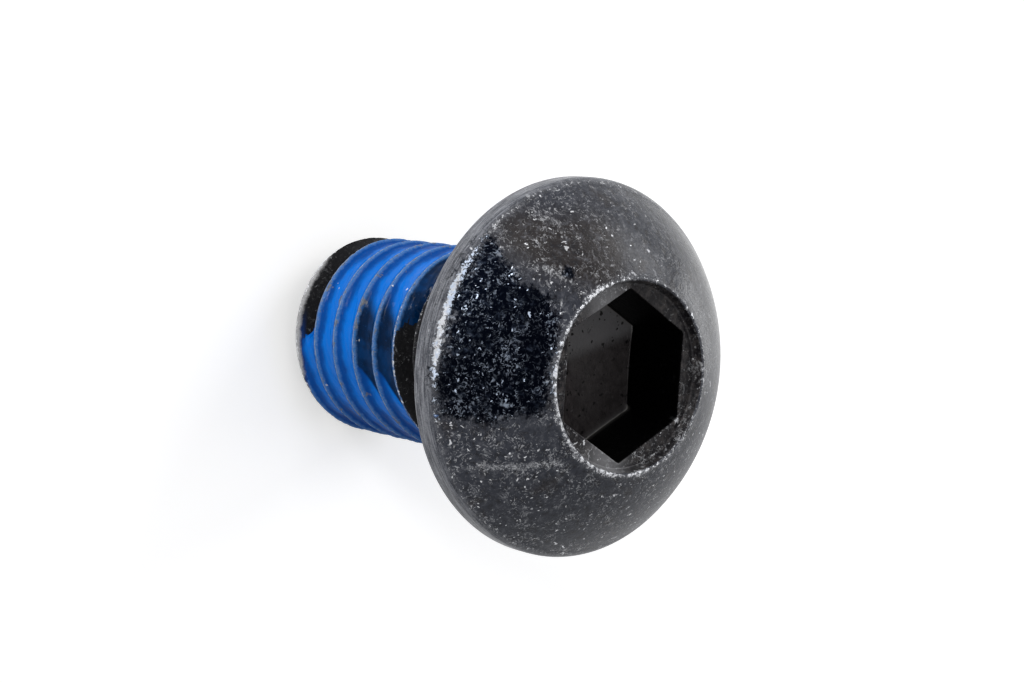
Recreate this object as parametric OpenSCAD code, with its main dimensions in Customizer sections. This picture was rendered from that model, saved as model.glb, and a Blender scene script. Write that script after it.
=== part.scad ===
// Button head socket screw, M6 x 10, with a dry locking patch on its thread.
// The axis is +Z, and the bearing face lies at height 0 with the head above it.
// The screw stands on the flat of its tip. Two corners of the hex socket lie on the X axis.

/* [Head] */
// Diameter of the head
head_d = 10.5; // [9:0.1:14]
// Height of the dome's pole above the bearing face, as if there were no socket
head_h = 3.3; // [2.8:0.1:4.5]
// Height of the straight rim between bearing face and dome
rim_h = 0.6; // [0.4:0.05:1]
// Rounding where the rim meets the bearing face
rim_round = 0.12; // [0.05:0.01:0.3]

/* [Hex socket] */
// Width of the socket across its flats
socket_flats = 4.1; // [3:0.05:4.3]
// Diameter of the round mouth where it meets the dome
mouth_d = 5.2; // [5:0.1:6.5]
// Lean of the mouth's wall from the axis, in degrees
mouth_lean = 18; // [0:1:45]
// Depth of the flat land round the hexagon below the edge of the mouth
land_depth = 0.3; // [0.1:0.05:0.6]
// Depth of the socket's corners below the edge of the mouth
socket_depth = 2.4; // [1.6:0.1:2.8]
// Full angle of the shallow cone in the floor
floor_angle = 166; // [150:2:176]

/* [Shank] */
// Length from the bearing face to the tip
shank_l = 10; // [8:1:30]
// Diameter of the plain neck under the head
neck_d = 5.35; // [5:0.05:5.6]
// Length of the plain neck
neck_l = 1.2; // [0.8:0.1:2]
// Radius of the fillet between neck and bearing face
neck_fillet = 0.3; // [0.2:0.05:0.6]
// Diameter of the flat at the tip
tip_d = 4.5; // [3.6:0.1:5]

/* [Thread] */
// Diameter over the crests
thread_d = 6; // [5.5:0.1:6.5]
// Distance between two crests
thread_pitch = 1; // [0.75:0.05:1.25]
// Length over which the ridge fades out below the neck
runout_l = 1; // [0.6:0.1:1.5]
// Turn of the crest line about the axis, from a corner of the socket
thread_turn = 296; // [0:1:359]

/* [Locking patch] */
// Bare length between the tip and the patch
patch_from_tip = 1.2; // [0.5:0.1:2]
// Bare length between the bearing face and the patch
patch_from_head = 3.6; // [3.2:0.1:6]
// Depth of the patch below the crests
patch_below_crest = 0.16; // [0.1:0.02:0.4]

/* [Hidden] */

$fn = 96;
head_r = head_d / 2;
neck_r = neck_d / 2;
tip_r = tip_d / 2;
// How far a cutting or joining shape runs past what it cuts or joins
overrun = 1;

// The dome is a sphere from the top of the rim to its pole.
dome_rise = head_h - rim_h;
dome_r = (head_r * head_r + dome_rise * dome_rise) / (2 * dome_rise);
dome_centre = head_h - dome_r;
rim_centre = [head_r - rim_round, rim_round];

// The edge of the mouth lies on the dome. The floor's slope is rise over run from the axis.
mouth_r = mouth_d / 2;
mouth_z = dome_centre + sqrt(dome_r * dome_r - mouth_r * mouth_r);
land_r = mouth_r - land_depth * tan(mouth_lean);
corner_r = socket_flats / sqrt(3);
floor_z = mouth_z - socket_depth;
floor_slope = 1 / tan(floor_angle / 2);

// ISO metric profile: 60 degree thread angle, crest flat of an eighth of the pitch
thread_r = thread_d / 2;
thread_depth = 0.61343 * thread_pitch;
core_r = thread_r - thread_depth;
crest_w = thread_pitch / 8;
flank_slope = tan(30);
tip_chamfer = thread_r - tip_r;
full_thread_bottom = tip_chamfer - shank_l;
// The ridge is swept in straight steps, sunk into the core and cut at the crest.
steps_per_turn = 36;
ridge_sink = 0.12;
ridge_proud = 0.06;

patch_r = thread_r - patch_below_crest;
patch_bottom = patch_from_tip - shank_l;
patch_top = -patch_from_head;

function arc(centre, radius, from, to, steps) =
    [for (i = [0 : steps]) let (a = from + (to - from) * i / steps)
        centre + radius * [cos(a), sin(a)]];

// Cross-section of the ridge as radius and height, about its own crest line
function ridge_section(inner, outer) =
    let (half_in = crest_w / 2 + (thread_r - inner) * flank_slope,
         half_out = crest_w / 2 + (thread_r - outer) * flank_slope)
    [[inner, -half_in], [outer, -half_out], [outer, half_out], [inner, half_in]];

function on_helix(step, at) =
    let (a = 360 * step / steps_per_turn)
    [at[0] * cos(a), at[0] * sin(a), thread_pitch * step / steps_per_turn + at[1]];

// Right-hand ridge whose crest line runs from one height to another
module ridge(bottom, top) {
    section = ridge_section(core_r - ridge_sink, thread_r + ridge_proud);
    n = len(section);
    first = floor(bottom / thread_pitch * steps_per_turn);
    last = ceil(top / thread_pitch * steps_per_turn);
    points = [for (step = [first : last]) for (at = section) on_helix(step, at)];
    sides = [for (i = [0 : last - first - 1]) for (j = [0 : n - 1])
        let (a = i * n + j, b = i * n + (j + 1) % n)
        each [[a, b, b + n], [a, b + n, a + n]]];
    start_cap = [for (j = [n - 1 : -1 : 0]) j];
    end_cap = [for (j = [0 : n - 1]) (last - first) * n + j];
    rotate([0, 0, thread_turn])
        polyhedron(points = points, faces = concat(sides, [start_cap, end_cap]));
}

// Outline that the thread fills: chamfered tip, crest cylinder and fading runout
module thread_envelope() {
    rotate_extrude()
        polygon([
            [0, -shank_l],
            [tip_r, -shank_l],
            [thread_r, full_thread_bottom],
            [thread_r, -neck_l - runout_l],
            [core_r, -neck_l],
            [0, -neck_l]
        ]);
}

// Ridge and core as one, cut together to the outline
module thread() {
    intersection() {
        union() {
            ridge(-shank_l - thread_pitch, -neck_l);
            translate([0, 0, -shank_l - overrun])
                cylinder(r = core_r, h = shank_l + overrun);
        }
        thread_envelope();
    }
}

// Plain neck: a short cone up from the core, and a fillet out to the bearing face
module neck() {
    fillet_centre = [neck_r + neck_fillet, -neck_fillet];
    rotate_extrude()
        polygon(concat(
            [[0, -neck_l - runout_l / 2], [core_r, -neck_l - runout_l / 2], [neck_r, -neck_l]],
            arc(fillet_centre, neck_fillet, 180, 90, 6),
            [[neck_r + neck_fillet, rim_h / 2], [0, rim_h / 2]]
        ));
}

// Dome cut to the head's diameter, with the rim's lower edge rounded
module head() {
    intersection() {
        translate([0, 0, dome_centre]) sphere(r = dome_r);
        rotate_extrude()
            polygon(concat(
                [[0, 0]],
                arc(rim_centre, rim_round, -90, 0, 6),
                [[head_r, head_h + overrun], [0, head_h + overrun]]
            ));
    }
}

// Hexagon with a shallow conical floor, and the shallow round recess at its mouth
module socket() {
    recess_h = land_depth + overrun;
    intersection() {
        translate([0, 0, floor_z - head_h])
            cylinder(r = corner_r, h = 2 * head_h + overrun, $fn = 6);
        rotate_extrude()
            polygon([
                [0, floor_z - corner_r * floor_slope],
                [head_r, floor_z + (head_r - corner_r) * floor_slope],
                [head_r, head_h + overrun],
                [0, head_h + overrun]
            ]);
    }
    translate([0, 0, mouth_z - land_depth])
        cylinder(r1 = land_r, r2 = land_r + recess_h * tan(mouth_lean), h = recess_h);
}

module screw() {
    color("#26272b")
        difference() {
            union() {
                head();
                neck();
                thread();
            }
            socket();
        }
}

// Dry compound in the groove, from the core out to a little below the crests
module locking_patch() {
    color("#0b4fc0")
        difference() {
            intersection() {
                translate([0, 0, patch_bottom])
                    cylinder(r = patch_r, h = patch_top - patch_bottom);
                thread_envelope();
            }
            translate([0, 0, -shank_l - overrun])
                cylinder(r = core_r, h = shank_l + overrun);
            ridge(patch_bottom - thread_pitch, patch_top + thread_pitch);
        }
}

screw();
locking_patch();
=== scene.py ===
"""Look of the button head screw: black steel with worn edges, and a blue locking patch in its thread.

The steel and the compound are surfaces worked out in millimetres about the screw's axis, +Z,
with the bearing face at height 0. Angles are measured from a corner of the hex socket.
"""

import bpy
import numpy as np
from mathutils import Matrix, Vector


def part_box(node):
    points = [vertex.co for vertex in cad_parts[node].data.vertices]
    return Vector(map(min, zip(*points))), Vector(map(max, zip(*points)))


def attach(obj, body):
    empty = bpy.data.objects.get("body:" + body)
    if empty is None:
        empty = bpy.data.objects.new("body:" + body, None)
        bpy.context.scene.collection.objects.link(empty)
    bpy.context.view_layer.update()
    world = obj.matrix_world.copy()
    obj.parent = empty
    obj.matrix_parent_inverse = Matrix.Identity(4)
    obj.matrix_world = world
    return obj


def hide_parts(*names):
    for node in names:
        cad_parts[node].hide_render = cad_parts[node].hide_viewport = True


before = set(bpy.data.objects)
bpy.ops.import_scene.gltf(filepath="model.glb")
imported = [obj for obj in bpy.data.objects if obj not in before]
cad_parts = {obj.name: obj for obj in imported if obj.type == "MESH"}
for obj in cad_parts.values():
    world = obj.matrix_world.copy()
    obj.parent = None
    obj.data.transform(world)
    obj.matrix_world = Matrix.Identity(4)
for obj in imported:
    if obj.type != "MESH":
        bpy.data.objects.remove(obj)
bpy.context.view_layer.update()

MM = 0.001
screw_low, screw_high = (np.array(corner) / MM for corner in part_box("screw"))

# Head, in millimetres
HEAD_R = screw_high[0]
HEAD_H = 3.3
RIM_H = 0.6
RIM_ROUND = 0.12
SHOULDER_ROUND = 0.3
DOME_RISE = HEAD_H - RIM_H
DOME_R = (HEAD_R**2 + DOME_RISE**2) / (2 * DOME_RISE)
DOME_Z = HEAD_H - DOME_R

# Hex socket: a shallow round recess with a flat land, and the hexagon in the land
MOUTH_R = 2.6
MOUTH_Z = DOME_Z + np.sqrt(DOME_R**2 - MOUTH_R**2)
MOUTH_LEAN = np.radians(18)
MOUTH_ROUND = 0.06
LAND_DEPTH = 0.3
LAND_Z = MOUTH_Z - LAND_DEPTH
LAND_R = MOUTH_R - LAND_DEPTH * np.tan(MOUTH_LEAN)
FLATS = 4.1
CORNER_R = FLATS / np.sqrt(3)
HEX_ROUND = 0.05
SOCKET_DEPTH = 2.4
FLOOR_Z = MOUTH_Z - SOCKET_DEPTH
FLOOR_ANGLE = 166
FLOOR_SLOPE = 1 / np.tan(np.radians(FLOOR_ANGLE / 2))
FLOOR_FILLET = 0.05

# Shank and thread
TIP_Z = screw_low[2]
TIP_R = 2.25
TIP_HOLLOW = 0.03
TIP_ROUND = 0.09
NECK_R = 2.675
NECK_Z = -1.2
NECK_FILLET = 0.3
THREAD_R = 3.0
PITCH = 1.0
THREAD_DEPTH = 0.61343 * PITCH
CORE_R = THREAD_R - THREAD_DEPTH
CREST_W = PITCH / 8
FLANK_SLOPE = np.tan(np.radians(30))
RUNOUT = 1.0
THREAD_TURN = np.radians(296)
DENT_DEPTH = 0.02
TURN = 2 * np.pi
# How widely two surfaces of the shank are blended where they meet
CREST_BLEND = 0.08
ROOT_BLEND = 0.12
TIP_BLEND = 0.06
RUNOUT_BLEND = 0.1
NECK_BLEND = 0.05
# Heights where the thread's grid ends, and where the rings of the neck start
THREAD_LOW, THREAD_HIGH = TIP_Z + 0.045, -1.03
NECK_RINGS_LOW = -0.98

# Grid: columns round the axis, six times a whole number of them, so that each hex corner has one
COLUMNS = 240
THETA = TURN * np.arange(COLUMNS) / COLUMNS
# Rows of one pitch of thread, as distances from the crest line, close where the profile turns
HALF_ROWS = np.array([0.016, 0.045, 0.07, 0.1, 0.145, 0.2, 0.26, 0.32, 0.37, 0.41, 0.445, 0.482])
PITCH_ROWS = np.concatenate([-HALF_ROWS[::-1], HALF_ROWS]) * PITCH


def soft_min(a, b, width):
    """The smaller of two fields; where they differ by less than width a parabola rounds the change."""
    share = np.clip(0.5 + 0.5 * (b - a) / width, 0, 1)
    return b + (a - b) * share - width * share * (1 - share)


def soft_max(a, b, width):
    """The larger of two fields, rounded in the same way."""
    return -soft_min(-a, -b, width)


def smooth_step(low, high, x):
    """0 below low, 1 above high, and a cubic ease between them."""
    t = np.clip((x - low) / (high - low), 0, 1)
    return t * t * (3 - 2 * t)


def window(x, rise, fall):
    """0, then 1, then 0 again, with an ease over the rise and the fall, each given as low and high."""
    return smooth_step(*rise, x) * (1 - smooth_step(*fall, x))


def bell(x, width):
    """Bell curve: 1 at 0, and 1 / e at the given width."""
    return np.exp(-((x / width) ** 2))


def wander(x, wave_counts, seed):
    """Irregular curve between about -1 and 1: a mean of sines of the given counts with seeded phases."""
    phases = np.random.default_rng(seed).uniform(0, TURN, len(wave_counts))
    total = sum(np.sin(n * x + p) for n, p in zip(wave_counts, phases))
    return total / np.sqrt(len(wave_counts) / 2) / 1.6


def crest_offset(theta, z):
    """Signed distance along the axis from the nearest crest line, and that crest's angle on the helix."""
    turns = z / PITCH - (theta - THREAD_TURN) / TURN
    nearest = np.round(turns)
    return (turns - nearest) * PITCH, theta + TURN * nearest


def thread_radius(theta, z):
    """Radius of the steel shank: the ISO profile about the helical crest line, with dents on its crests,
    cut by the 45 degree tip chamfer and the fading runout, and never thinner than the plain neck."""
    offset, along = crest_offset(theta, z)
    dents = wander(along, (7.3, 16.1, 29.7, 47.9), 11) + wander(along, (61.7, 83.1, 109.3), 12)
    crest = THREAD_R - DENT_DEPTH * np.clip(dents - 0.45, 0, 1.2)
    flank = THREAD_R - (np.abs(offset) - CREST_W / 2) / FLANK_SLOPE
    radius = soft_max(soft_min(crest, flank, CREST_BLEND), CORE_R + 0 * z, ROOT_BLEND)
    radius = soft_min(radius, TIP_R + (z - TIP_Z), TIP_BLEND)
    fade = THREAD_R - THREAD_DEPTH * (z - (NECK_Z - RUNOUT)) / RUNOUT
    radius = soft_min(radius, fade, RUNOUT_BLEND)
    neck = CORE_R + (NECK_R - CORE_R) * np.clip((z - (NECK_Z - RUNOUT / 2)) / (RUNOUT / 2), -3, 1)
    return soft_max(radius, neck, NECK_BLEND)


def hex_radius(sharpness):
    """Polar radius of the socket's hexagon at each column: a power mean of its six half-planes,
    so a finite sharpness rounds the corners."""
    normals = np.radians(30 + 60 * np.arange(6))
    lean = np.clip(np.cos(THETA[:, None] - normals), 0, None)
    return FLATS / 2 * (lean**sharpness).sum(1) ** (-1 / sharpness)


def arc(centre, radius, start, stop, steps):
    """Points (radius, height) on a circle from one angle to another, in degrees."""
    a = np.radians(np.linspace(start, stop, steps))
    return np.stack([centre[0] + radius * np.cos(a), centre[1] + radius * np.sin(a)], 1)


def line(start, stop, places):
    """Points (radius, height) on a straight line at the given shares of its length."""
    places = np.asarray(places, float)[:, None]
    return np.asarray(start) + (np.asarray(stop) - np.asarray(start)) * places


def mouth_edge():
    """Centre of the small circle that rounds the mouth's edge: it lies one radius below the dome, taken as
    flat there, and one radius outside the recess's wall."""
    dome_normal = np.array([MOUTH_R, MOUTH_Z - DOME_Z]) / DOME_R
    wall_normal = np.array([np.cos(MOUTH_LEAN), -np.sin(MOUTH_LEAN)])
    shift = np.linalg.solve([dome_normal, wall_normal], [-MOUTH_ROUND, MOUTH_ROUND])
    return np.array([MOUTH_R, MOUTH_Z]) + shift


def head_profile():
    """Outline (radius, height) from the neck to the land in the mouth: neck, fillet, bearing face, rim,
    rounded shoulder, dome, rounded mouth edge and recess wall. The shoulder's circle touches the rim and
    the dome's sphere from inside."""
    fillet = arc((NECK_R + NECK_FILLET, -NECK_FILLET), NECK_FILLET, 180, 90, 9)
    rim_edge = arc((HEAD_R - RIM_ROUND, RIM_ROUND), RIM_ROUND, -90, 0, 8)
    shoulder_r = HEAD_R - SHOULDER_ROUND
    shoulder_z = DOME_Z + np.sqrt((DOME_R - SHOULDER_ROUND) ** 2 - shoulder_r**2)
    lean = np.degrees(np.arctan2(shoulder_z - DOME_Z, shoulder_r))
    shoulder = arc((shoulder_r, shoulder_z), SHOULDER_ROUND, 0, lean, 9)
    edge = mouth_edge()
    edge_lean = np.degrees(np.arctan2(edge[1] - DOME_Z, edge[0]))
    dome = arc((0, DOME_Z), DOME_R, lean, edge_lean, 36)
    mouth = arc(edge, MOUTH_ROUND, edge_lean, 180 - np.degrees(MOUTH_LEAN), 8)
    face_places = [0.02, 0.06, 0.2, 0.4, 0.6, 0.8, 0.94, 0.98]
    return np.concatenate([
        line((NECK_R, NECK_RINGS_LOW), (NECK_R, -NECK_FILLET), [0, 0.3, 0.6, 0.85]),
        fillet,
        line((NECK_R + NECK_FILLET, 0), (HEAD_R - RIM_ROUND, 0), face_places),
        rim_edge,
        line((HEAD_R, RIM_ROUND), (HEAD_R, shoulder_z), [0.05, 0.3, 0.6, 0.9]),
        shoulder,
        dome[1:],
        mouth[1:],
        line(mouth[-1], (LAND_R, LAND_Z), [0.2, 0.5, 0.8, 0.93]),
    ])


def socket_rings():
    """Rings from the land's outer edge to the floor's middle, as radius and height per column. The land
    runs flat to the hexagon's rounded edge, and the hexagon's wall drops to a shallow cone of a floor."""
    sharp = hex_radius(110)
    floor_z = FLOOR_Z - (CORNER_R - sharp) * FLOOR_SLOPE
    rings = []
    outer = LAND_R - 0.02
    for t in (0, 0.06, 0.3, 0.6, 0.88, 0.97):
        rings.append((outer + (sharp + HEX_ROUND - outer) * t, np.full(COLUMNS, LAND_Z)))
    for a in np.radians((0, 25, 50, 75, 90)):
        edge_z = LAND_Z - HEX_ROUND * (1 - np.cos(a))
        rings.append((sharp + HEX_ROUND * (1 - np.sin(a)), np.full(COLUMNS, edge_z)))
    wall_top = LAND_Z - HEX_ROUND
    for t in (0.04, 0.2, 0.4, 0.6, 0.8, 0.92):
        rings.append((sharp, wall_top + (floor_z + FLOOR_FILLET - wall_top) * t))
    for a in np.radians((0, 30, 60, 90)):
        rings.append((sharp - FLOOR_FILLET * (1 - np.cos(a)), floor_z + FLOOR_FILLET * (1 - np.sin(a))))
    inner = hex_radius(40)
    for t in (0.9, 0.76, 0.6, 0.45, 0.3, 0.16, 0.06):
        r = inner * t
        rings.append((r, FLOOR_Z - (CORNER_R - r) * FLOOR_SLOPE))
    return rings


def tip_rings():
    """Rings of the tip from its middle outwards: a flat with a shallow hollow, rounded at its edge."""
    radii = (0.25, 0.6, 1.0, 1.35, 1.65, 1.9, 2.08)
    flat = [(r, TIP_Z + TIP_HOLLOW * (1 - smooth_step(0.8, 1.9, r))) for r in radii]
    edge = arc((TIP_R - TIP_ROUND, TIP_Z + TIP_ROUND), TIP_ROUND, -90, -45, 5)
    return [(np.full(COLUMNS, r), np.full(COLUMNS, z)) for r, z in [*flat, *edge]]


def ring_points(rings):
    """Vertices of a list of rings, ring by ring."""
    radius = np.array([np.broadcast_to(r, COLUMNS) for r, _ in rings])
    height = np.array([np.broadcast_to(z, COLUMNS) for _, z in rings])
    return np.stack([radius * np.cos(THETA), radius * np.sin(THETA), height], -1).reshape(-1, 3)


def ring_faces(first, count):
    """Quads between neighbouring rings whose vertices start at index first."""
    i, j = np.meshgrid(np.arange(count - 1), np.arange(COLUMNS), indexing="ij")
    k = (j + 1) % COLUMNS
    lower, upper = first + i * COLUMNS, first + (i + 1) * COLUMNS
    return np.stack([lower + j, lower + k, upper + k, upper + j], -1).reshape(-1, 4)


def thread_grid(low, high):
    """Thread between two heights on a sheared grid: row i of column j lies at its own distance from the
    crest line plus the helix's rise to that column, so rows follow the crests, and the last column joins
    the first one a whole pitch of rows further up. Gives points, quads, triangles and the two end rows."""
    per_pitch = len(PITCH_ROWS)
    pitches = np.arange(np.floor(low / PITCH) - 2, np.ceil(high / PITCH) + 3)
    base = (pitches[:, None] * PITCH + PITCH_ROWS).ravel()
    rise = PITCH * (THETA - THREAD_TURN) / TURN
    height = base[:, None] + rise
    valid = (height > low) & (height < high)
    index = np.full((len(base) + per_pitch, COLUMNS + 1), -1)
    index[: len(base), :COLUMNS][valid] = np.arange(valid.sum())
    index[: len(base), COLUMNS] = index[per_pitch:, 0]
    theta = np.broadcast_to(THETA, height.shape)[valid]
    z = height[valid]
    radius = thread_radius(theta, z)
    points = np.stack([radius * np.cos(theta), radius * np.sin(theta), z], -1)
    corners = np.stack([index[:-1, :-1], index[:-1, 1:], index[1:, 1:], index[1:, :-1]], -1).reshape(-1, 4)
    found = (corners >= 0).sum(1)
    quads = corners[found == 4]
    three = corners[found == 3]
    triangles = three[three >= 0].reshape(-1, 3)
    lowest = index[np.argmax(index[: len(base), :COLUMNS] >= 0, 0), np.arange(COLUMNS)]
    upside = index[: len(base), :COLUMNS][::-1]
    highest = upside[np.argmax(upside >= 0, 0), np.arange(COLUMNS)]
    return points, quads, triangles, lowest, highest


def join_faces(lower, upper):
    """Quads between two closed rows given by their vertex indices."""
    return np.stack([lower, np.roll(lower, -1), np.roll(upper, -1), upper], -1)


def fan(pole, row):
    """Triangles from a pole to a closed row, in the row's own direction."""
    return np.stack([np.full(COLUMNS, pole), np.roll(row, -1), row], -1)


def screw_surface():
    """The steel as one closed surface, from the tip's middle round the outside to the socket's middle."""
    tip = tip_rings()
    head = [(np.float64(r), np.float64(z)) for r, z in head_profile()] + socket_rings()
    thread, quads, triangles, lowest, highest = thread_grid(THREAD_LOW, THREAD_HIGH)
    tip_points, head_points = ring_points(tip), ring_points(head)
    poles = np.array([[0, 0, TIP_Z + TIP_HOLLOW], [0, 0, FLOOR_Z - CORNER_R * FLOOR_SLOPE]])
    points = np.concatenate([tip_points, thread, head_points, poles])
    at_thread = len(tip_points)
    at_head = at_thread + len(thread)
    at_poles = at_head + len(head_points)
    columns = np.arange(COLUMNS)
    fours = np.concatenate([
        ring_faces(0, len(tip)),
        join_faces(at_thread - COLUMNS + columns, at_thread + lowest),
        at_thread + quads,
        join_faces(at_thread + highest, at_head + columns),
        ring_faces(at_head, len(head)),
    ])
    threes = np.concatenate([
        at_thread + triangles,
        fan(at_poles, columns),
        fan(at_poles + 1, at_poles - COLUMNS + columns)[:, ::-1],
    ])
    return points, [*fours.tolist(), *threes.tolist()]


# Marks on the head as (radius, angle in degrees): outline of the dark stain, scuffs as paths, and spots
STAIN = [
    (5.04, -134), (4.7, -132), (4.23, -128), (3.93, -127), (3.46, -128),
    (3.0, -123), (2.8, -110), (2.78, -90), (2.9, -77), (3.2, -70.5),
    (4.12, -72), (5.07, -77), (5.2, -90), (5.2, -117), (5.12, -130),
]
SCUFFS = [
    [(4.71, -57.5), (4.27, -54.7), (3.73, -50), (3.13, -43.5)],
    [(4.79, -150.6), (4.5, -152.6)],
    [(3.87, -136.3), (3.55, -138.7)],
    [(4.97, 171.8), (4.72, 169.7)],
]
WARM_SPOTS = [(3.9, -148), (4.6, -141), (3.25, -157), (3.7, -165)]
BLOTCH = (3.45, -142)
BLUE_DOT = (5.12, -76)
BURR = (2.38, 58.8)
# Middle of the dome's cleaner side, and half of its width, in degrees
CLEAN_MIDDLE, CLEAN_WIDTH = 140, 50
# Line across the socket's floor where the painted light on its paler side begins: a point on it, and the
# way to that side
PAINTED_LIGHT_START = (-0.06, -0.27)
PAINTED_LIGHT_WAY = (-0.947, -0.321)


def flat_points(polar):
    """Points seen along the axis, from radius and angle in degrees."""
    radius, angle = np.array(polar, float).T
    return np.stack([radius * np.cos(np.radians(angle)), radius * np.sin(np.radians(angle))], -1)


def distance_to_path(points, path, closed):
    """Distance in the plane from each point to the nearest stretch of a path."""
    start = path if closed else path[:-1]
    stop = np.roll(path, -1, 0) if closed else path[1:]
    run = stop - start
    to_point = points[:, None] - start
    share = np.clip((to_point * run).sum(-1) / (run * run).sum(-1), 0, 1)
    return np.linalg.norm(to_point - share[..., None] * run, axis=-1).min(1)


def inside_outline(points, path):
    """True where a point lies inside a closed path: a ray from there crosses the path an odd number of
    times."""
    start, stop = path, np.roll(path, -1, 0)
    x, y = points[:, None, 0], points[:, None, 1]
    spans = (start[:, 1] > y) != (stop[:, 1] > y)
    with np.errstate(divide="ignore", invalid="ignore"):
        crossing = start[:, 0] + (y - start[:, 1]) * (stop[:, 0] - start[:, 0]) / (stop[:, 1] - start[:, 1])
    return (spans & (x < crossing)).sum(1) % 2 == 1


def near(points, polar, size):
    """1 at a place given as radius and angle, falling as a bell curve of the given size."""
    away = points[:, :2] - flat_points([polar])
    return np.exp(-(away**2).sum(1) / size**2)


def degrees_from(degrees, middle):
    """Signed angle from a middle direction, between -180 and 180 degrees."""
    turned = (degrees - middle) % 360
    return turned - 360 * (turned > 180)


def socket_marks(x, y, z):
    """Parts of the socket: the land with all below it, the land's lit side, away from which the land gets
    painted shade, the walls below the land, the floor, and the paler places, which are painted light on one
    side of the floor, a painted highlight on the floor's edge at one wall, and two stretches of the land."""
    radius = np.hypot(x, y)
    degrees = np.degrees(np.arctan2(y, x))
    inside = (radius < MOUTH_R) & (z > -0.3) & (z < MOUTH_Z - 0.04)
    above_floor = z - (FLOOR_Z - (CORNER_R - radius) * FLOOR_SLOPE)
    floor = np.where(inside, 1 - smooth_step(0.0, 0.025, above_floor), 0)
    deep = np.where(inside, 1 - smooth_step(LAND_Z - 0.06, LAND_Z - 0.01, z), 0)
    # Painted light: the side of the floor that light falls on through the mouth is paler
    past_line = PAINTED_LIGHT_WAY[0] * (x - PAINTED_LIGHT_START[0]) + PAINTED_LIGHT_WAY[1] * (y - PAINTED_LIGHT_START[1])
    painted_light_on_floor = smooth_step(-0.12, 0.34, past_line)
    # Painted highlight: a pale line along the floor's edge at one wall
    painted_highlight_edge = window(above_floor, (0.0, 0.02), (0.035, 0.06)) * ((np.abs(degrees - 30) < 33) & inside)
    on_land = np.maximum(bell(degrees + 156, 16), bell(degrees + 12, 16))
    pale = np.where(deep > 0.5, np.maximum(floor * painted_light_on_floor, painted_highlight_edge), on_land * inside)
    # Painted shade: the land darkens away from this lit side
    painted_lit_side = inside * smooth_step(-0.2, 0.6, np.cos(np.radians(degrees - 95)))
    return inside.astype(float), painted_lit_side, deep, floor, pale


def thread_marks(theta, z, radius):
    """Parts of the thread: nearness to a crest, film left beside the crests along the patch, crests that
    shine silver, which are those at the tip and just behind the patch, and the bare edge at the tip."""
    offset, along = crest_offset(theta, z)
    on_thread = (z < NECK_Z) & (z > TIP_Z)
    crest = bell(offset, 0.05) * on_thread * smooth_step(2.7, 2.95, radius)
    crest_z = PITCH * (along - THREAD_TURN) / TURN
    groove_z = crest_z + 0.5 * PITCH * np.sign(offset)
    in_patch = window(groove_z, (-8.62, -8.54), (-3.75, -3.6))
    beside = window(np.abs(offset), (0.02, 0.05), (0.13, 0.2))
    along_patch = window(crest_z, (-9.1, -8.7), (-4.1, -3.7))
    silver_behind = 0.62 * window(crest_z, (-4.6, -4.0), (-3.2, -2.9))
    silver = np.maximum(silver_behind, 0.8 * (1 - smooth_step(-8.9, -8.6, crest_z)))
    tip_edge = bell(offset, 0.12) * on_thread * (1 - smooth_step(-8.95, -8.75, crest_z))
    tip_edge *= window(np.degrees(theta), (-155, -125), (-75, -50))
    coated = in_patch * beside * on_thread * (1 - tip_edge)
    return crest * (0.3 + 0.7 * along_patch), coated, crest * silver, tip_edge


def steel_marks(points):
    """Per-vertex fields that the steel's finish reads: distance into the stain and from the scuffs, worn
    edges with a painted highlight on the shoulder, warmer ground, a blue dot, the dome's cleaner side, the
    rim band, the parts of the socket with their painted light and shade, the shank and the thread."""
    x, y, z = points.T
    radius = np.hypot(x, y)
    theta = np.arctan2(y, x)
    degrees = np.degrees(theta)
    on_head = z > 0.3
    outline = flat_points(STAIN)
    stain = distance_to_path(points[:, :2], outline, True)
    stain = np.where(inside_outline(points[:, :2], outline), stain, -stain)
    stain = np.maximum(stain, 0.6 * near(points, BLOTCH, 0.2) - 0.3)
    stain = np.where(on_head & (radius > MOUTH_R - 0.05), stain, -2)
    scuff = np.min([distance_to_path(points[:, :2], flat_points(path), False) for path in SCUFFS], 0)
    # Worn most on the mouth's edge from -150 to 10 degrees, and on the shoulder beside the stain, where the
    # extra bare metal is a painted highlight over the shoulder's wear
    to_mouth = np.hypot(radius - MOUTH_R - 0.06, z - MOUTH_Z + 0.03)
    rubbed_side = window(degrees, (-175, -150), (10, 45))
    ring_width = 0.105 + 0.045 * wander(theta, (5, 9, 14), 7)
    mouth = bell(to_mouth, ring_width) * (0.45 + 0.36 * rubbed_side)
    painted_highlight_side = window(degrees, (-132, -114), (-96, -80))
    to_shoulder = np.hypot(radius - HEAD_R + 0.12, z - 0.78)
    shoulder = bell(to_shoulder, 0.105) * (0.42 + 0.95 * painted_highlight_side)
    inside, painted_lit_side, deep, floor, pale = socket_marks(x, y, z)
    crest, coated, silver, tip_edge = thread_marks(theta, z, radius)
    burr = 2.5 * near(points, BURR, 0.07) * (z > 2.2)
    return {
        "stain": stain,
        "scuff": np.where(on_head, scuff, 2),
        "worn": np.clip(np.maximum.reduce([mouth, shoulder, silver, burr]), 0, 1.5),
        "warm": np.clip(sum(near(points, spot, 0.75) for spot in WARM_SPOTS), 0, 1) * on_head,
        "blue": near(points, BLUE_DOT, 0.08) * on_head,
        "clean": bell(degrees_from(degrees, CLEAN_MIDDLE), CLEAN_WIDTH) * on_head,
        "rim": smooth_step(5.0, 5.2, radius) * (1 - smooth_step(0.6, 0.8, z)) * (z > -0.01),
        "land": inside,
        "painted_lit_side": painted_lit_side,
        "deep": deep,
        "floor": floor,
        "pale": pale,
        "shank": np.where(z < -0.02, smooth_step(0.0, 0.3, -z), 0.0),
        "crest": crest,
        "coated": coated,
        "tip_edge": tip_edge,
    }


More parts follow.
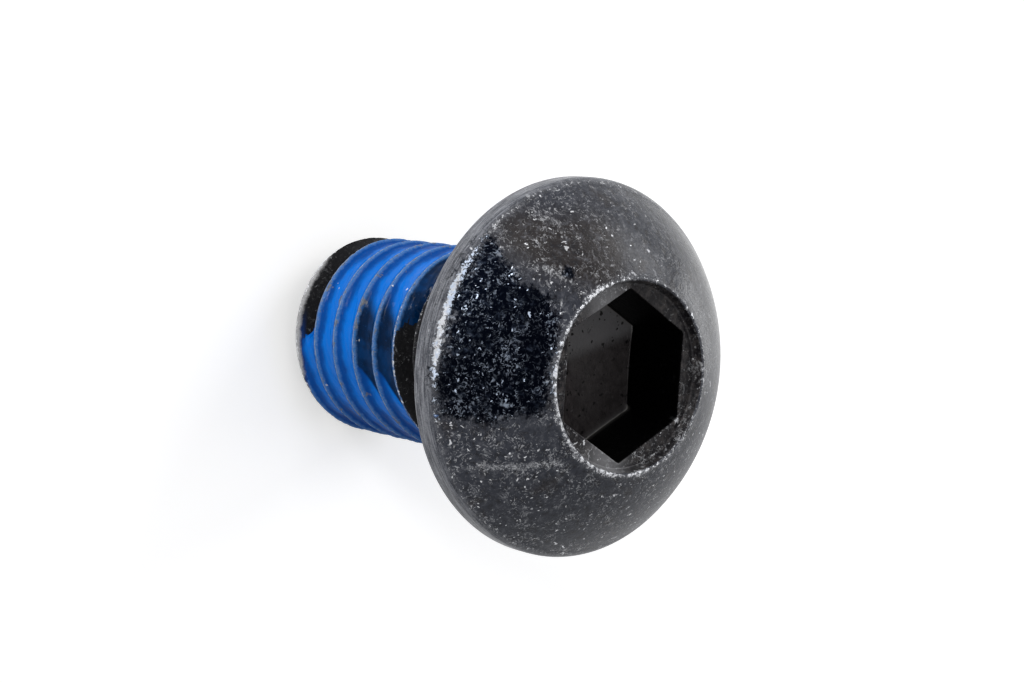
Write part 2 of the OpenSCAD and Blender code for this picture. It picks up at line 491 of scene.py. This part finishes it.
# Locking patch: where its middle line starts and ends along the groove, as heights
PATCH_LOW, PATCH_HIGH = -8.58, -3.65
PATCH_COLUMNS = 900
PATCH_ROWS = 29
PATCH_WIDTH = 0.94 * PITCH
PATCH_MARGIN = 0.15 * PITCH
# Its top below the crests, its hollow, its film on the flanks, and how far it dips under the steel
BELOW_CREST = 0.014
HOLLOW = 0.16
FILM = 0.007
FILM_BLEND = 0.05
END_DIP = 0.025
INNER_DIP = 0.07
# Width that stays bare beside the first crest
BARE_WIDTH = 0.12


def compound_surface():
    """The compound as a closed strip along the groove. Its outside is a hollow meniscus between the crests
    that turns into a thin film up the flanks, and it dips under the steel at its ragged ends. Its inside
    follows the steel a little below the surface."""
    middle = np.linspace(PATCH_LOW - PATCH_MARGIN, PATCH_HIGH + PATCH_MARGIN, PATCH_COLUMNS)[:, None]
    across = 0.5 * PATCH_WIDTH * np.sin(np.linspace(-0.5, 0.5, PATCH_ROWS) * np.pi)[None, :]
    along = THREAD_TURN + TURN * (middle / PITCH - 0.5)
    theta = along + 0 * across
    z = middle + across
    steel = thread_radius(theta, z)
    # Navy zone: painted shadow of the head on the side of the last turns, which also gets a deeper hollow;
    # and thin film where the coat runs out
    facing = np.degrees((theta + np.pi) % TURN - np.pi)
    wear_and_painted_light = smooth_step(-130, -98, facing - 20 * across)
    wear_and_painted_light = wear_and_painted_light * (1 - smooth_step(-64, -56, facing - 42 * across))
    wear_and_painted_light = wear_and_painted_light * smooth_step(-6.3, -5.9, middle)
    thin = wear_and_painted_light * (0.85 + 0.15 * wander(along, (0.9, 2.1), 5))
    thin = np.maximum(thin, smooth_step(-4.05, -3.8, middle))
    sag = HOLLOW + 0.04 * wander(along, (1.7, 3.1, 5.3, 9.1), 3) + 0.05 * wear_and_painted_light
    lean = 2 * across / PITCH
    ripple = 0.010 * wander(along + 9 * across, (11.3, 23.9, 37.1), 4)
    fill = THREAD_R - BELOW_CREST - sag * (1 - lean**2) + ripple
    ragged = 0.010 * wander(along * 9 + 21 * across, (1.1, 2.3, 3.7), 6)
    from_start = middle - PATCH_LOW + 0.02 * across + ragged
    from_end = PATCH_HIGH - middle - 0.14 * across + ragged
    # The first crest at the tip stays bare for a stretch
    bare_edge = BARE_WIDTH * (1 - smooth_step(PATCH_LOW + 0.05, PATCH_LOW + 0.13, middle))
    from_crest = across + 0.5 * PITCH - bare_edge + ragged
    present = smooth_step(0, 0.02, np.minimum(np.minimum(from_start, from_end), from_crest))
    under = steel - END_DIP
    outside = under + (soft_max(fill, steel + FILM, FILM_BLEND) - under) * present
    inside = steel - INNER_DIP
    film = np.clip(outside - steel, 0, 1)
    radius = np.concatenate([outside, inside[:, ::-1]], 1)
    height = np.concatenate([z, z[:, ::-1]], 1)
    angle = np.concatenate([theta, theta[:, ::-1]], 1)
    points = np.stack([radius * np.cos(angle), radius * np.sin(angle), height], -1)
    loop = radius.shape[1]
    i, j = np.meshgrid(np.arange(PATCH_COLUMNS - 1), np.arange(loop), indexing="ij")
    k = (j + 1) % loop
    here, ahead = i * loop, (i + 1) * loop
    faces = np.stack([here + j, ahead + j, ahead + k, here + k], -1).reshape(-1, 4)
    side = np.arange(loop // 2 - 1)
    start_cap = np.stack([side, side + 1, loop - 2 - side, loop - 1 - side], -1)
    end_cap = ((PATCH_COLUMNS - 1) * loop + start_cap)[:, ::-1]
    marks = {
        "film": np.concatenate([film, film[:, ::-1]], 1).ravel(),
        "thin": np.concatenate([thin, thin[:, ::-1]], 1).ravel(),
        "lean": np.concatenate([lean, lean[:, ::-1]], 1).repeat(PATCH_COLUMNS, 0).ravel(),
    }
    return points.reshape(-1, 3), np.concatenate([faces, start_cap, end_cap]).tolist(), marks


def make_piece(name, points, faces, marks, material, node, slot):
    """A smooth mesh with its fields as attributes, which stands for a CAD node and moves with it."""
    mesh = bpy.data.meshes.new(name)
    mesh.from_pydata(points * MM, [], faces)
    mesh.shade_smooth()
    for mark, values in marks.items():
        attribute = mesh.attributes.new(mark, "FLOAT", "POINT")
        attribute.data.foreach_set("value", np.asarray(values, np.float32))
    mesh.materials.append(material)
    piece = bpy.data.objects.new(name, mesh)
    bpy.context.collection.objects.link(piece)
    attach(piece, "root")
    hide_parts(node)
    return piece


class Finish:
    """A material under construction, with short calls for the nodes that finishes are made of."""

    def __init__(self, name):
        self.material = bpy.data.materials.new(name)
        self.material.use_nodes = True
        self.tree = self.material.node_tree
        self.shader = self.tree.nodes["Principled BSDF"]
        place = self.tree.nodes.new("ShaderNodeTexCoord").outputs["Object"]
        # Object coordinates in millimetres
        self.place = self.vector("SCALE", place, scale=1 / MM)

    def plug(self, value, socket):
        """Link an output to a socket, or set the socket to a plain value."""
        if isinstance(value, bpy.types.NodeSocket):
            self.tree.links.new(value, socket)
        elif value is not None:
            socket.default_value = value

    def vector(self, operation, a, b=None, scale=None):
        """Sum, product or another operation on vectors."""
        node = self.tree.nodes.new("ShaderNodeVectorMath")
        node.operation = operation
        self.plug(a, node.inputs[0])
        self.plug(b, node.inputs[1])
        self.plug(scale, node.inputs[3])
        return node.outputs[0]

    def math(self, operation, a, b=None, clamp=False):
        """Sum, product or another operation on numbers, kept between 0 and 1 where clamp is set."""
        node = self.tree.nodes.new("ShaderNodeMath")
        node.operation = operation
        node.use_clamp = clamp
        self.plug(a, node.inputs[0])
        self.plug(b, node.inputs[1])
        return node.outputs[0]

    def add(self, a, b):
        """Sum of two numbers."""
        return self.math("ADD", a, b)

    def minus(self, a, b):
        """First number less the second one."""
        return self.math("SUBTRACT", a, b)

    def times(self, a, b, clamp=False):
        """Product of two numbers."""
        return self.math("MULTIPLY", a, b, clamp)

    def most(self, *values):
        """Largest of several numbers."""
        largest = values[0]
        for value in values[1:]:
            largest = self.math("MAXIMUM", largest, value)
        return largest

    def rest(self, share):
        """What a share leaves of 1."""
        return self.minus(1.0, share)

    def swing(self, noise, amount):
        """How far a noise lies from its middle value, times an amount."""
        return self.times(self.minus(noise, 0.5), amount)

    def distance(self, point):
        """Distance in millimetres from a point."""
        node = self.tree.nodes.new("ShaderNodeVectorMath")
        node.operation = "DISTANCE"
        self.plug(self.place, node.inputs[0])
        self.plug(point, node.inputs[1])
        return node.outputs["Value"]

    def drawn_out(self, at, degrees, factor):
        """Coordinates turned about the axis and squeezed, so that a pattern on them is longer one way."""
        node = self.tree.nodes.new("ShaderNodeVectorRotate")
        node.rotation_type = "Z_AXIS"
        self.plug(at, node.inputs["Vector"])
        node.inputs["Angle"].default_value = np.radians(degrees)
        return self.vector("MULTIPLY", node.outputs[0], (1 / factor, 1.0, 1.0))

    def mark(self, name):
        """A field that the mesh carries as an attribute."""
        node = self.tree.nodes.new("ShaderNodeAttribute")
        node.attribute_name = name
        return node.outputs["Fac"]

    def noise(self, scale, detail=3.0, roughness=0.55, distortion=0.0, at=None):
        """Noise about 0.5, with the scale in waves per millimetre."""
        node = self.tree.nodes.new("ShaderNodeTexNoise")
        self.plug(self.place if at is None else at, node.inputs["Vector"])
        node.inputs["Scale"].default_value = scale
        node.inputs["Detail"].default_value = detail
        node.inputs["Roughness"].default_value = roughness
        node.inputs["Distortion"].default_value = distortion
        return node.outputs["Fac"]

    def cells(self, scale, at=None):
        """Distance to the nearest cell point, and three random numbers of that cell."""
        node = self.tree.nodes.new("ShaderNodeTexVoronoi")
        self.plug(self.place if at is None else at, node.inputs["Vector"])
        node.inputs["Scale"].default_value = scale
        split = self.tree.nodes.new("ShaderNodeSeparateColor")
        self.tree.links.new(node.outputs["Color"], split.inputs[0])
        return node.outputs["Distance"], *split.outputs

    def warp(self, scale, amount):
        """Coordinates pushed about by a noise, in millimetres."""
        node = self.tree.nodes.new("ShaderNodeTexNoise")
        self.plug(self.place, node.inputs["Vector"])
        node.inputs["Scale"].default_value = scale
        node.inputs["Detail"].default_value = 2.0
        push = self.vector("SUBTRACT", node.outputs["Color"], (0.5, 0.5, 0.5))
        return self.vector("ADD", self.place, self.vector("SCALE", push, scale=amount))

    def ease(self, value, low, high, to_low=0.0, to_high=1.0):
        """Smooth change of a value from one range to another; a falling one has low above high."""
        node = self.tree.nodes.new("ShaderNodeMapRange")
        node.interpolation_type = "SMOOTHSTEP"
        if low > high:
            low, high, to_low, to_high = high, low, to_high, to_low
        self.plug(value, node.inputs["Value"])
        ends = {"From Min": low, "From Max": high, "To Min": to_low, "To Max": to_high}
        for socket, number in ends.items():
            node.inputs[socket].default_value = number
        return node.outputs["Result"]

    def mix(self, share, a, b):
        """Colour a where share is 0 and b where it is 1."""
        node = self.tree.nodes.new("ShaderNodeMix")
        node.data_type = "RGBA"
        self.plug(share, node.inputs["Factor"])
        for colour, socket in ((a, node.inputs[6]), (b, node.inputs[7])):
            self.plug((*colour, 1.0) if isinstance(colour, tuple) else colour, socket)
        return node.outputs[2]

    def blend(self, share, a, b):
        """Number a where share is 0 and b where it is 1."""
        node = self.tree.nodes.new("ShaderNodeMix")
        for value, socket in ((share, 0), (a, 2), (b, 3)):
            self.plug(value, node.inputs[socket])
        return node.outputs[0]

    def bump(self, height, distance, strength=1.0, below=None):
        """Surface direction over a relief of the given height in millimetres, on top of another relief."""
        node = self.tree.nodes.new("ShaderNodeBump")
        node.inputs["Distance"].default_value = distance * MM
        node.inputs["Strength"].default_value = strength
        self.plug(height, node.inputs["Height"])
        self.plug(below, node.inputs["Normal"])
        return node.outputs["Normal"]

    def set(self, **sockets):
        """Set or link the shader's sockets, named with underscores for spaces."""
        for name, value in sockets.items():
            if isinstance(value, tuple):
                value = (*value, 1.0)
            self.plug(value, self.shader.inputs[name.replace("_", " ")])


# Colours of the steel, as single tones or as pairs from the darker to the lighter one
CHARCOAL = (0.024, 0.027, 0.037)
WARM_BLACK = (0.014, 0.011, 0.011)
COLD_BLACK = (0.008, 0.008, 0.011)
SATIN_GREY = (0.085, 0.088, 0.102)
WORN_GREY = (0.13, 0.134, 0.15)
# The rim's lighter grey is a painted reflection
RIM_PAINTED_REFLECTION_TONES = ((0.034, 0.037, 0.047), (0.205, 0.212, 0.236))
STAIN_TONES = ((0.0008, 0.0013, 0.0032), (0.020, 0.026, 0.040))
DOT_BLUE = (0.08, 0.18, 0.42)
SHANK_TONES = ((0.002, 0.0026, 0.0036), (0.012, 0.0115, 0.0125))
FILM_BLUE = (0.002, 0.045, 0.23)
CREST_TONES = ((0.05, 0.14, 0.36), (0.27, 0.32, 0.42))
TIP_EDGE_TONES = ((0.22, 0.22, 0.225), (0.42, 0.42, 0.43))
LAND_TONES = ((0.008, 0.0075, 0.009), (0.040, 0.036, 0.036))
PALE_LAND_TONES = ((0.09, 0.09, 0.096), (0.19, 0.19, 0.198))
# Painted shade that blackens the socket's walls
WALL_PAINTED_SHADE = (0.0012, 0.0012, 0.0016)
FLOOR_TONES = ((0.026, 0.0225, 0.0235), (0.042, 0.037, 0.038))
# Painted light on one side of the socket's floor
FLOOR_PAINTED_LIGHT = (0.135, 0.132, 0.138)
PIT_BLACK = (0.002, 0.002, 0.002)
# Painted highlight on the floor's edge at one wall
FLOOR_EDGE_PAINTED_HIGHLIGHT = (0.3, 0.29, 0.28)
# Bare metal on the oxide and in the stain
BARE_TONES = ((0.66, 0.67, 0.70), (0.50, 0.58, 0.72))

# Colours of the compound
PATCH_TONES = ((0.0, 0.050, 0.245), (0.0, 0.128, 0.53))
# Navy for the thin film and for the painted shadow beside the head
NAVY_TONES = ((0.0, 0.009, 0.034), (0.0, 0.022, 0.085))
BRIGHT_BLUE = (0.05, 0.22, 0.7)
CREST_FILM_TONES = ((0.02, 0.135, 0.40), (0.11, 0.20, 0.385))
CHIP_GREY = (0.4, 0.42, 0.44)
WORN_FILM_TONES = ((0.03, 0.035, 0.045), (0.2, 0.215, 0.24))
SPECK_SILVER = (0.75, 0.74, 0.70)

# Places on the thread as (angle in degrees, height): worn grey patches and silver specks in the compound
SPOT_R = 2.94
GREY_PATCHES = [(-119.5, -8.12), (-113.5, -7.42), (-114, -6.12)]
SPECKS = [(-91.7, -5.9), (-92.5, -5.56), (-126.4, -5.15), (-126.4, -4.48)]


def flecks(finish, scale, crowding, at, ragged):
    """Flecks of bare metal in a share of the cells, each with its own size and brightness, few of them
    bright."""
    distance, lot, size, glint = finish.cells(scale, at)
    kept = finish.ease(finish.minus(crowding, lot), 0.0, 0.03)
    reach = finish.add(finish.minus(distance, finish.times(size, 0.40)), finish.swing(ragged, 0.7))
    shape = finish.times(finish.ease(reach, 0.03, -0.07), kept)
    tone = finish.add(finish.times(finish.math("POWER", glint, 2.4), 1.05), 0.03)
    return finish.times(shape, tone)


def strokes(finish, scale, shift):
    """Short curling strokes one or two hundredths of a millimetre wide: the places where a distorted noise
    passes its middle value, kept where another noise is high."""
    shifted = finish.vector("ADD", finish.place, (shift, -shift, 2 * shift))
    field = finish.noise(scale, 2.0, 0.5, 1.2, shifted)
    off_line = finish.math("ABSOLUTE", finish.minus(field, 0.5))
    kept = finish.ease(finish.noise(1.6 * scale, 2.0, 0.6, 0.0, shifted), 0.52, 0.63)
    return finish.times(finish.ease(off_line, 0.011 * scale, 0.0), kept)


def pocks(finish, scale, at, size_share, edge, lot_range, strength=1.0):
    """Round places in some of the cells, each with its own size: pits in the steel and chips in the
    compound. The edge and the cells' lots are given as the ranges over which they fall."""
    distance, lot, size, _ = finish.cells(scale, at)
    reach = finish.minus(distance, finish.times(size, size_share))
    return finish.times(finish.ease(reach, *edge), finish.ease(lot, *lot_range, 0.0, strength))


def spots(finish, places, size, ragged):
    """1 round each place on the thread, given as angle in degrees and height, with a ragged edge."""
    nearest = 10.0
    for degrees, height in places:
        a = np.radians(degrees)
        away = finish.distance((SPOT_R * np.cos(a), SPOT_R * np.sin(a), height))
        nearest = finish.math("MINIMUM", nearest, away)
    return finish.ease(finish.add(nearest, finish.swing(ragged, 3 * size)), size, 0.7 * size)


def black_steel():
    """Black oxide on steel: charcoal satin with flecks and strokes of bare metal and worn edges, with a
    painted highlight on the shoulder, a dark stain full of curls, a smoother rim with a painted reflection,
    socket walls in painted shade, the land in painted shade away from its lit side, and a pitted floor with
    painted light on one side and a painted highlight at one edge."""
    steel = Finish("black_oxide_steel")
    patchy = steel.noise(1.2, 4.0, 0.6)
    mottle = steel.noise(4.5, 5.0, 0.65, 0.4)
    grain = steel.noise(22.0, 3.0, 0.6)
    ragged = steel.noise(8.0, 5.0, 0.75)
    curled = steel.warp(5.0, 0.30)

    frayed = steel.add(steel.swing(ragged, 1.1), steel.swing(patchy, 0.7))
    stain = steel.ease(steel.add(steel.mark("stain"), frayed), -0.08, 0.16)
    worn = steel.mark("worn")
    rim = steel.mark("rim")
    shank = steel.mark("shank")
    land = steel.mark("land")
    deep = steel.mark("deep")
    floor = steel.mark("floor")
    pale = steel.mark("pale")
    clean = steel.mark("clean")
    walls = steel.minus(deep, floor)

    # Bare metal: flecks, strokes, scuffs and worn edges with the painted highlight on the shoulder, all
    # broken up by noise
    crowding = steel.blend(stain, steel.ease(patchy, 0.3, 0.7, 0.10, 0.6), 0.24)
    fine = flecks(steel, 15.0, crowding, steel.drawn_out(curled, 70, 2.4), grain)
    coarse = flecks(steel, 8.5, steel.times(crowding, 0.5), steel.drawn_out(curled, -25, 2.2), grain)
    long_curls = strokes(steel, 2.7, 3.7)
    curls = steel.most(strokes(steel, 4.2, 9.1), strokes(steel, 6.0, 15.3))
    lines = steel.most(steel.times(long_curls, 0.5), steel.times(curls, 0.4))
    clustered = steel.ease(steel.noise(1.7, 3.0, 0.6), 0.4, 0.64, 0.1, 1.0)
    lines = steel.times(lines, steel.times(clustered, steel.blend(stain, 1.0, 0.7)))
    scuffed = steel.ease(steel.add(steel.mark("scuff"), steel.swing(ragged, 0.8)), 0.14, 0.0)
    scuffed = steel.times(scuffed, steel.ease(grain, 0.42, 0.62, 0.05, 0.5))
    smooth_parts = steel.most(steel.times(rim, 0.75), steel.times(shank, 0.85), steel.times(clean, 0.7))
    bare = steel.times(steel.most(fine, coarse, lines, scuffed), steel.rest(smooth_parts))
    # Worn edges as bare metal, with the painted highlight on the shoulder
    wear_and_painted_light = steel.add(steel.add(worn, steel.swing(ragged, 3.6)), steel.swing(grain, 1.4))
    wear_and_painted_light = steel.times(steel.ease(wear_and_painted_light, 0.55, 0.95), steel.ease(worn, 0.08, 0.4, 0.0, 0.85))
    hidden = steel.most(steel.times(deep, 0.97), steel.times(land, 0.15))
    bare = steel.times(steel.most(bare, wear_and_painted_light), steel.rest(hidden), clamp=True)

    # Head: charcoal with warmer, darker and greyer places, worn edges with the painted highlight on the
    # shoulder, the rim with a painted reflection, the stain and the blue dot
    warm = steel.most(steel.mark("warm"), steel.ease(patchy, 0.56, 0.72, 0.0, 0.7))
    oxide = steel.mix(warm, CHARCOAL, WARM_BLACK)
    oxide = steel.mix(steel.ease(mottle, 0.5, 0.32, 0.0, 0.85), oxide, COLD_BLACK)
    oxide = steel.mix(steel.ease(mottle, 0.5, 0.75, 0.0, 0.75), oxide, SATIN_GREY)
    oxide = steel.mix(steel.ease(grain, 0.5, 0.8, 0.0, 0.18), oxide, SATIN_GREY)
    # Worn grey, also on the painted highlight of the shoulder
    oxide = steel.mix(steel.ease(worn, 0.1, 0.8, 0.0, 0.4), oxide, WORN_GREY)
    streaks = steel.noise(1.0, 3.0, 0.6, 0.0, steel.vector("MULTIPLY", steel.place, (1.5, 1.5, 24.0)))
    streaks = steel.ease(steel.add(streaks, steel.times(grain, 0.4)), 0.5, 0.95)
    # Painted reflection: the rim band is lighter grey
    oxide = steel.mix(rim, oxide, steel.mix(streaks, *RIM_PAINTED_REFLECTION_TONES))
    oxide = steel.mix(stain, oxide, steel.mix(steel.ease(mottle, 0.52, 0.78), *STAIN_TONES))
    oxide = steel.mix(steel.ease(steel.mark("blue"), 0.45, 0.75), oxide, DOT_BLUE)

    # Shank: black, with film beside the crests, worn crests and the bare edge at the tip
    oxide = steel.mix(shank, oxide, steel.mix(mottle, *SHANK_TONES))
    oxide = steel.mix(steel.mark("coated"), oxide, FILM_BLUE)
    crest = steel.ease(steel.add(steel.mark("crest"), steel.swing(ragged, 0.8)), 0.35, 0.8)
    crest_tone = steel.mix(steel.ease(ragged, 0.4, 0.65), *CREST_TONES)
    oxide = steel.mix(steel.times(crest, 0.85), oxide, crest_tone)
    edge = steel.ease(steel.add(steel.mark("tip_edge"), steel.swing(mottle, 0.7)), 0.3, 0.75)
    oxide = steel.mix(edge, oxide, steel.mix(grain, *TIP_EDGE_TONES))

    # Socket: land, walls blackened as painted shade, and a pitted floor with painted light on one side and
    # a painted highlight at one edge
    land_tone = steel.mix(steel.ease(mottle, 0.42, 0.68), *LAND_TONES)
    land_tone = steel.mix(pale, land_tone, steel.mix(mottle, *PALE_LAND_TONES))
    oxide = steel.mix(land, oxide, land_tone)
    # Painted shade: the walls below the land are near black
    oxide = steel.mix(deep, oxide, WALL_PAINTED_SHADE)
    pits = pocks(steel, 5.2, curled, 0.36, (0.03, -0.05), (0.8, 0.7))
    floor_tone = steel.mix(steel.ease(mottle, 0.35, 0.65), *FLOOR_TONES)
    # Painted light on the floor's paler side
    floor_tone = steel.mix(pale, floor_tone, FLOOR_PAINTED_LIGHT)
    oxide = steel.mix(floor, oxide, steel.mix(pits, floor_tone, PIT_BLACK))
    # Painted highlight on the floor's edge at one wall
    oxide = steel.mix(steel.times(pale, walls, clamp=True), oxide, FLOOR_EDGE_PAINTED_HIGHLIGHT)
    colour = steel.mix(bare, oxide, steel.mix(stain, *BARE_TONES))

    # Dark zones are metal with a near-black colour, so they send nothing back but a dim reflection: the
    # stain, the shank, and, as painted shade, the socket walls and the land away from its lit side
    painted_shade_land = steel.times(land, steel.ease(steel.mark("painted_lit_side"), 0.0, 1.0, 0.85, 0.2))
    dark = steel.most(stain, walls, steel.times(shank, 0.75), painted_shade_land)
    dark = steel.times(dark, steel.rest(steel.most(pale, crest, edge)), clamp=True)
    satin = steel.times(mottle, steel.ease(clean, 0.0, 1.0, 0.25, 0.08))
    satin = steel.add(satin, steel.ease(clean, 0.0, 1.0, 0.24, 0.10))
    rough = steel.blend(bare, steel.blend(dark, satin, 0.5), 0.32)

    normal = steel.bump(steel.noise(6.0, 4.0, 0.65, 0.6), 0.022, 0.6)
    normal = steel.bump(grain, 0.006, 0.5, normal)
    normal = steel.bump(steel.times(ragged, worn), 0.10, 0.8, normal)
    normal = steel.bump(lines, 0.02, 0.7, normal)
    steel.set(Base_Color=colour, Metallic=steel.most(bare, dark), Roughness=rough, Normal=normal)
    steel.set(Specular_IOR_Level=0.16)
    return steel.material


def blue_compound():
    """Dried compound: navy where the film is thin and as a painted shadow beside the head, deep blue to
    bright blue where it is thick, with painted light on the groove's head side, greyish over the rounded
    crests, glossy and slightly wavy, with worn patches and a few silver chips."""
    compound = Finish("blue_locking_compound")
    cloud = compound.noise(1.4, 3.0, 0.55)
    fine = compound.noise(16.0, 3.0, 0.6)
    ragged = compound.noise(6.0, 4.0, 0.65)
    lean = compound.mark("lean")
    side = compound.times(lean, lean)

    # Colour by thickness, with painted light making it a little brighter on the groove's head side
    thickness_and_painted_light = compound.add(compound.mark("film"), compound.swing(cloud, 0.8))
    thickness_and_painted_light = compound.add(thickness_and_painted_light, compound.times(lean, 0.16))
    colour = compound.mix(compound.ease(thickness_and_painted_light, -0.02, 0.40), *PATCH_TONES)
    # Navy where the film is thin, and as a painted shadow beside the head
    navy = compound.mix(compound.ease(cloud, 0.4, 0.65), *NAVY_TONES)
    colour = compound.mix(compound.ease(compound.mark("thin"), 0.25, 0.7), colour, navy)
    colour = compound.mix(compound.ease(fine, 0.6, 0.85, 0.0, 0.2), colour, BRIGHT_BLUE)

    # Film worn thin over the crests, chips, worn patches and specks
    crest = compound.ease(compound.add(side, compound.swing(ragged, 0.3)), 0.54, 0.8, 0.0, 0.85)
    crest_tone = compound.mix(compound.ease(fine, 0.25, 0.75), *CREST_FILM_TONES)
    colour = compound.mix(crest, colour, crest_tone)
    chips = pocks(compound, 5.5, compound.warp(7.0, 0.2), 0.34, (0.02, -0.06), (0.05, 0.03), 0.7)
    colour = compound.mix(chips, colour, CHIP_GREY)
    worn = compound.add(compound.noise(2.6, 4.0, 0.65), compound.times(side, 0.32))
    worn = compound.ease(worn, 0.82, 0.88, 0.0, 0.85)
    worn = compound.most(worn, spots(compound, GREY_PATCHES, 0.15, ragged))
    colour = compound.mix(worn, colour, compound.mix(fine, *WORN_FILM_TONES))
    colour = compound.mix(spots(compound, SPECKS, 0.055, fine), colour, SPECK_SILVER)

    rough = compound.ease(compound.noise(6.0, 3.0, 0.6), 0.3, 0.7, 0.05, 0.16)
    normal = compound.bump(compound.noise(3.5, 3.0, 0.5), 0.05, 0.4)
    normal = compound.bump(fine, 0.006, 0.4, normal)
    compound.set(Base_Color=colour, Roughness=rough, Normal=normal, Specular_IOR_Level=0.045)
    return compound.material


def white_share(tree):
    """1 for camera, glossy and transmission rays, which see the background as plain white."""
    path = tree.nodes.new("ShaderNodeLightPath")
    total = path.outputs["Is Camera Ray"]
    for ray in ("Is Glossy Ray", "Is Transmission Ray"):
        add = tree.nodes.new("ShaderNodeMath")
        add.operation = "MAXIMUM"
        tree.links.new(total, add.inputs[0])
        tree.links.new(path.outputs[ray], add.inputs[1])
        total = add.outputs[0]
    return total


# Floor: half its width, and the distances in metres between which its lift to white grows
FLOOR_HALF = 0.7
LIFT_FROM, LIFT_TO = 0.05, 0.2
LIFT_NEAR, LIFT_FAR = 0.38, 0.64
# Strength of the white surroundings as light
SURROUNDINGS = 0.45


def add_floor():
    """A wide pale floor under the tip, lifted to white where no shadow falls. The lift grows away from the
    screw, where the lamps no longer reach."""
    half = FLOOR_HALF
    corners = [(-half, -half), (half, -half), (half, half), (-half, half)]
    mesh = bpy.data.meshes.new("floor")
    mesh.from_pydata([(x, y, TIP_Z * MM) for x, y in corners], [], [(0, 1, 2, 3)])
    material = bpy.data.materials.new("pale_floor")
    material.use_nodes = True
    shader = material.node_tree.nodes["Principled BSDF"]
    shader.inputs["Base Color"].default_value = (0.86, 0.86, 0.86, 1)
    shader.inputs["Roughness"].default_value = 0.9
    shader.inputs["Specular IOR Level"].default_value = 0.0
    shader.inputs["Emission Color"].default_value = (1, 1, 1, 1)
    tree = material.node_tree
    place = tree.nodes.new("ShaderNodeTexCoord")
    away = tree.nodes.new("ShaderNodeVectorMath")
    away.operation = "LENGTH"
    tree.links.new(place.outputs["Object"], away.inputs[0])
    lift = tree.nodes.new("ShaderNodeMapRange")
    ends = {"From Min": LIFT_FROM, "From Max": LIFT_TO, "To Min": LIFT_NEAR, "To Max": LIFT_FAR}
    for socket, number in ends.items():
        lift.inputs[socket].default_value = number
    tree.links.new(away.outputs["Value"], lift.inputs["Value"])
    share = tree.nodes.new("ShaderNodeMath")
    share.operation = "MULTIPLY"
    tree.links.new(lift.outputs["Result"], share.inputs[0])
    tree.links.new(white_share(tree), share.inputs[1])
    tree.links.new(share.outputs[0], shader.inputs["Emission Strength"])
    mesh.materials.append(material)
    floor = bpy.data.objects.new("floor", mesh)
    bpy.context.collection.objects.link(floor)


def add_world():
    """White surroundings: full strength where they are seen, less as light."""
    world = bpy.data.worlds.new("white_surroundings")
    bpy.context.scene.world = world
    world.use_nodes = True
    strength = world.node_tree.nodes.new("ShaderNodeMapRange")
    strength.inputs["To Min"].default_value = SURROUNDINGS
    strength.inputs["To Max"].default_value = 1.0
    world.node_tree.links.new(white_share(world.node_tree), strength.inputs["Value"])
    background = world.node_tree.nodes["Background"]
    background.inputs["Color"].default_value = (1, 1, 1, 1)
    world.node_tree.links.new(strength.outputs["Result"], background.inputs["Strength"])


def add_softbox(name, direction, distance, width, height, radiance):
    """A rectangular lamp of a given brightness that faces the screw from a direction."""
    lamp = bpy.data.lights.new(name, "AREA")
    lamp.shape = "RECTANGLE"
    lamp.size, lamp.size_y = width, height
    lamp.energy = radiance * np.pi * width * height
    box = bpy.data.objects.new(name, lamp)
    away = Vector(direction).normalized()
    box.location = away * distance
    box.rotation_euler = away.to_track_quat("Z", "Y").to_euler()
    box.visible_camera = False
    bpy.context.collection.objects.link(box)


# Camera of the photograph, found by fitting the head's outline, socket and tip
IMAGE_W = 1024
FOCAL_PX = 2100
SENSOR_W = 36.0
CAMERA_AT = (-4.983, -37.657, 44.029)
CAMERA_RIGHT = (-0.0680, 0.7784, 0.6240)
CAMERA_DOWN = (0.9948, 0.0053, 0.1017)


def add_camera():
    """The photograph's camera. It is turned on its side, since the photograph shows the screw lying."""
    lens = bpy.data.cameras.new("camera")
    lens.sensor_width = SENSOR_W
    lens.lens = SENSOR_W * FOCAL_PX / IMAGE_W
    lens.clip_start, lens.clip_end = 0.001, 10
    camera = bpy.data.objects.new("camera", lens)
    right = Vector(CAMERA_RIGHT).normalized()
    up = -Vector(CAMERA_DOWN)
    up = (up - right * up.dot(right)).normalized()
    turn = Matrix((right, up, right.cross(up))).transposed()
    camera.matrix_world = Matrix.Translation(Vector(CAMERA_AT) * MM) @ turn.to_4x4()
    bpy.context.collection.objects.link(camera)
    bpy.context.scene.camera = camera


steel_points, steel_faces = screw_surface()
steel_fields = steel_marks(steel_points)
make_piece("screw_steel", steel_points, steel_faces, steel_fields, black_steel(), "screw", "steel")
make_piece("locking_compound", *compound_surface(), blue_compound(), "locking_patch", "compound")

add_floor()
add_world()
# Lamps: direction from the screw, distance, width and height in metres, and brightness
add_softbox("key_softbox", (-0.59, -0.80, 0.18), 0.14, 0.03, 0.05, 24.0)
add_softbox("side_softbox", (-0.9, -0.45, 0.50), 0.14, 0.08, 0.03, 5.0)
add_softbox("back_softbox", (-0.75, 0.80, 0.50), 0.15, 0.08, 0.05, 6.0)
add_softbox("rear_panel", (-0.12, 0.98, 0.14), 0.10, 0.045, 0.034, 4.5)
add_softbox("top_softbox", (0.2, -0.1, 1.0), 0.17, 0.08, 0.08, 1.0)
add_camera()

bpy.context.scene.view_settings.view_transform = "Standard"
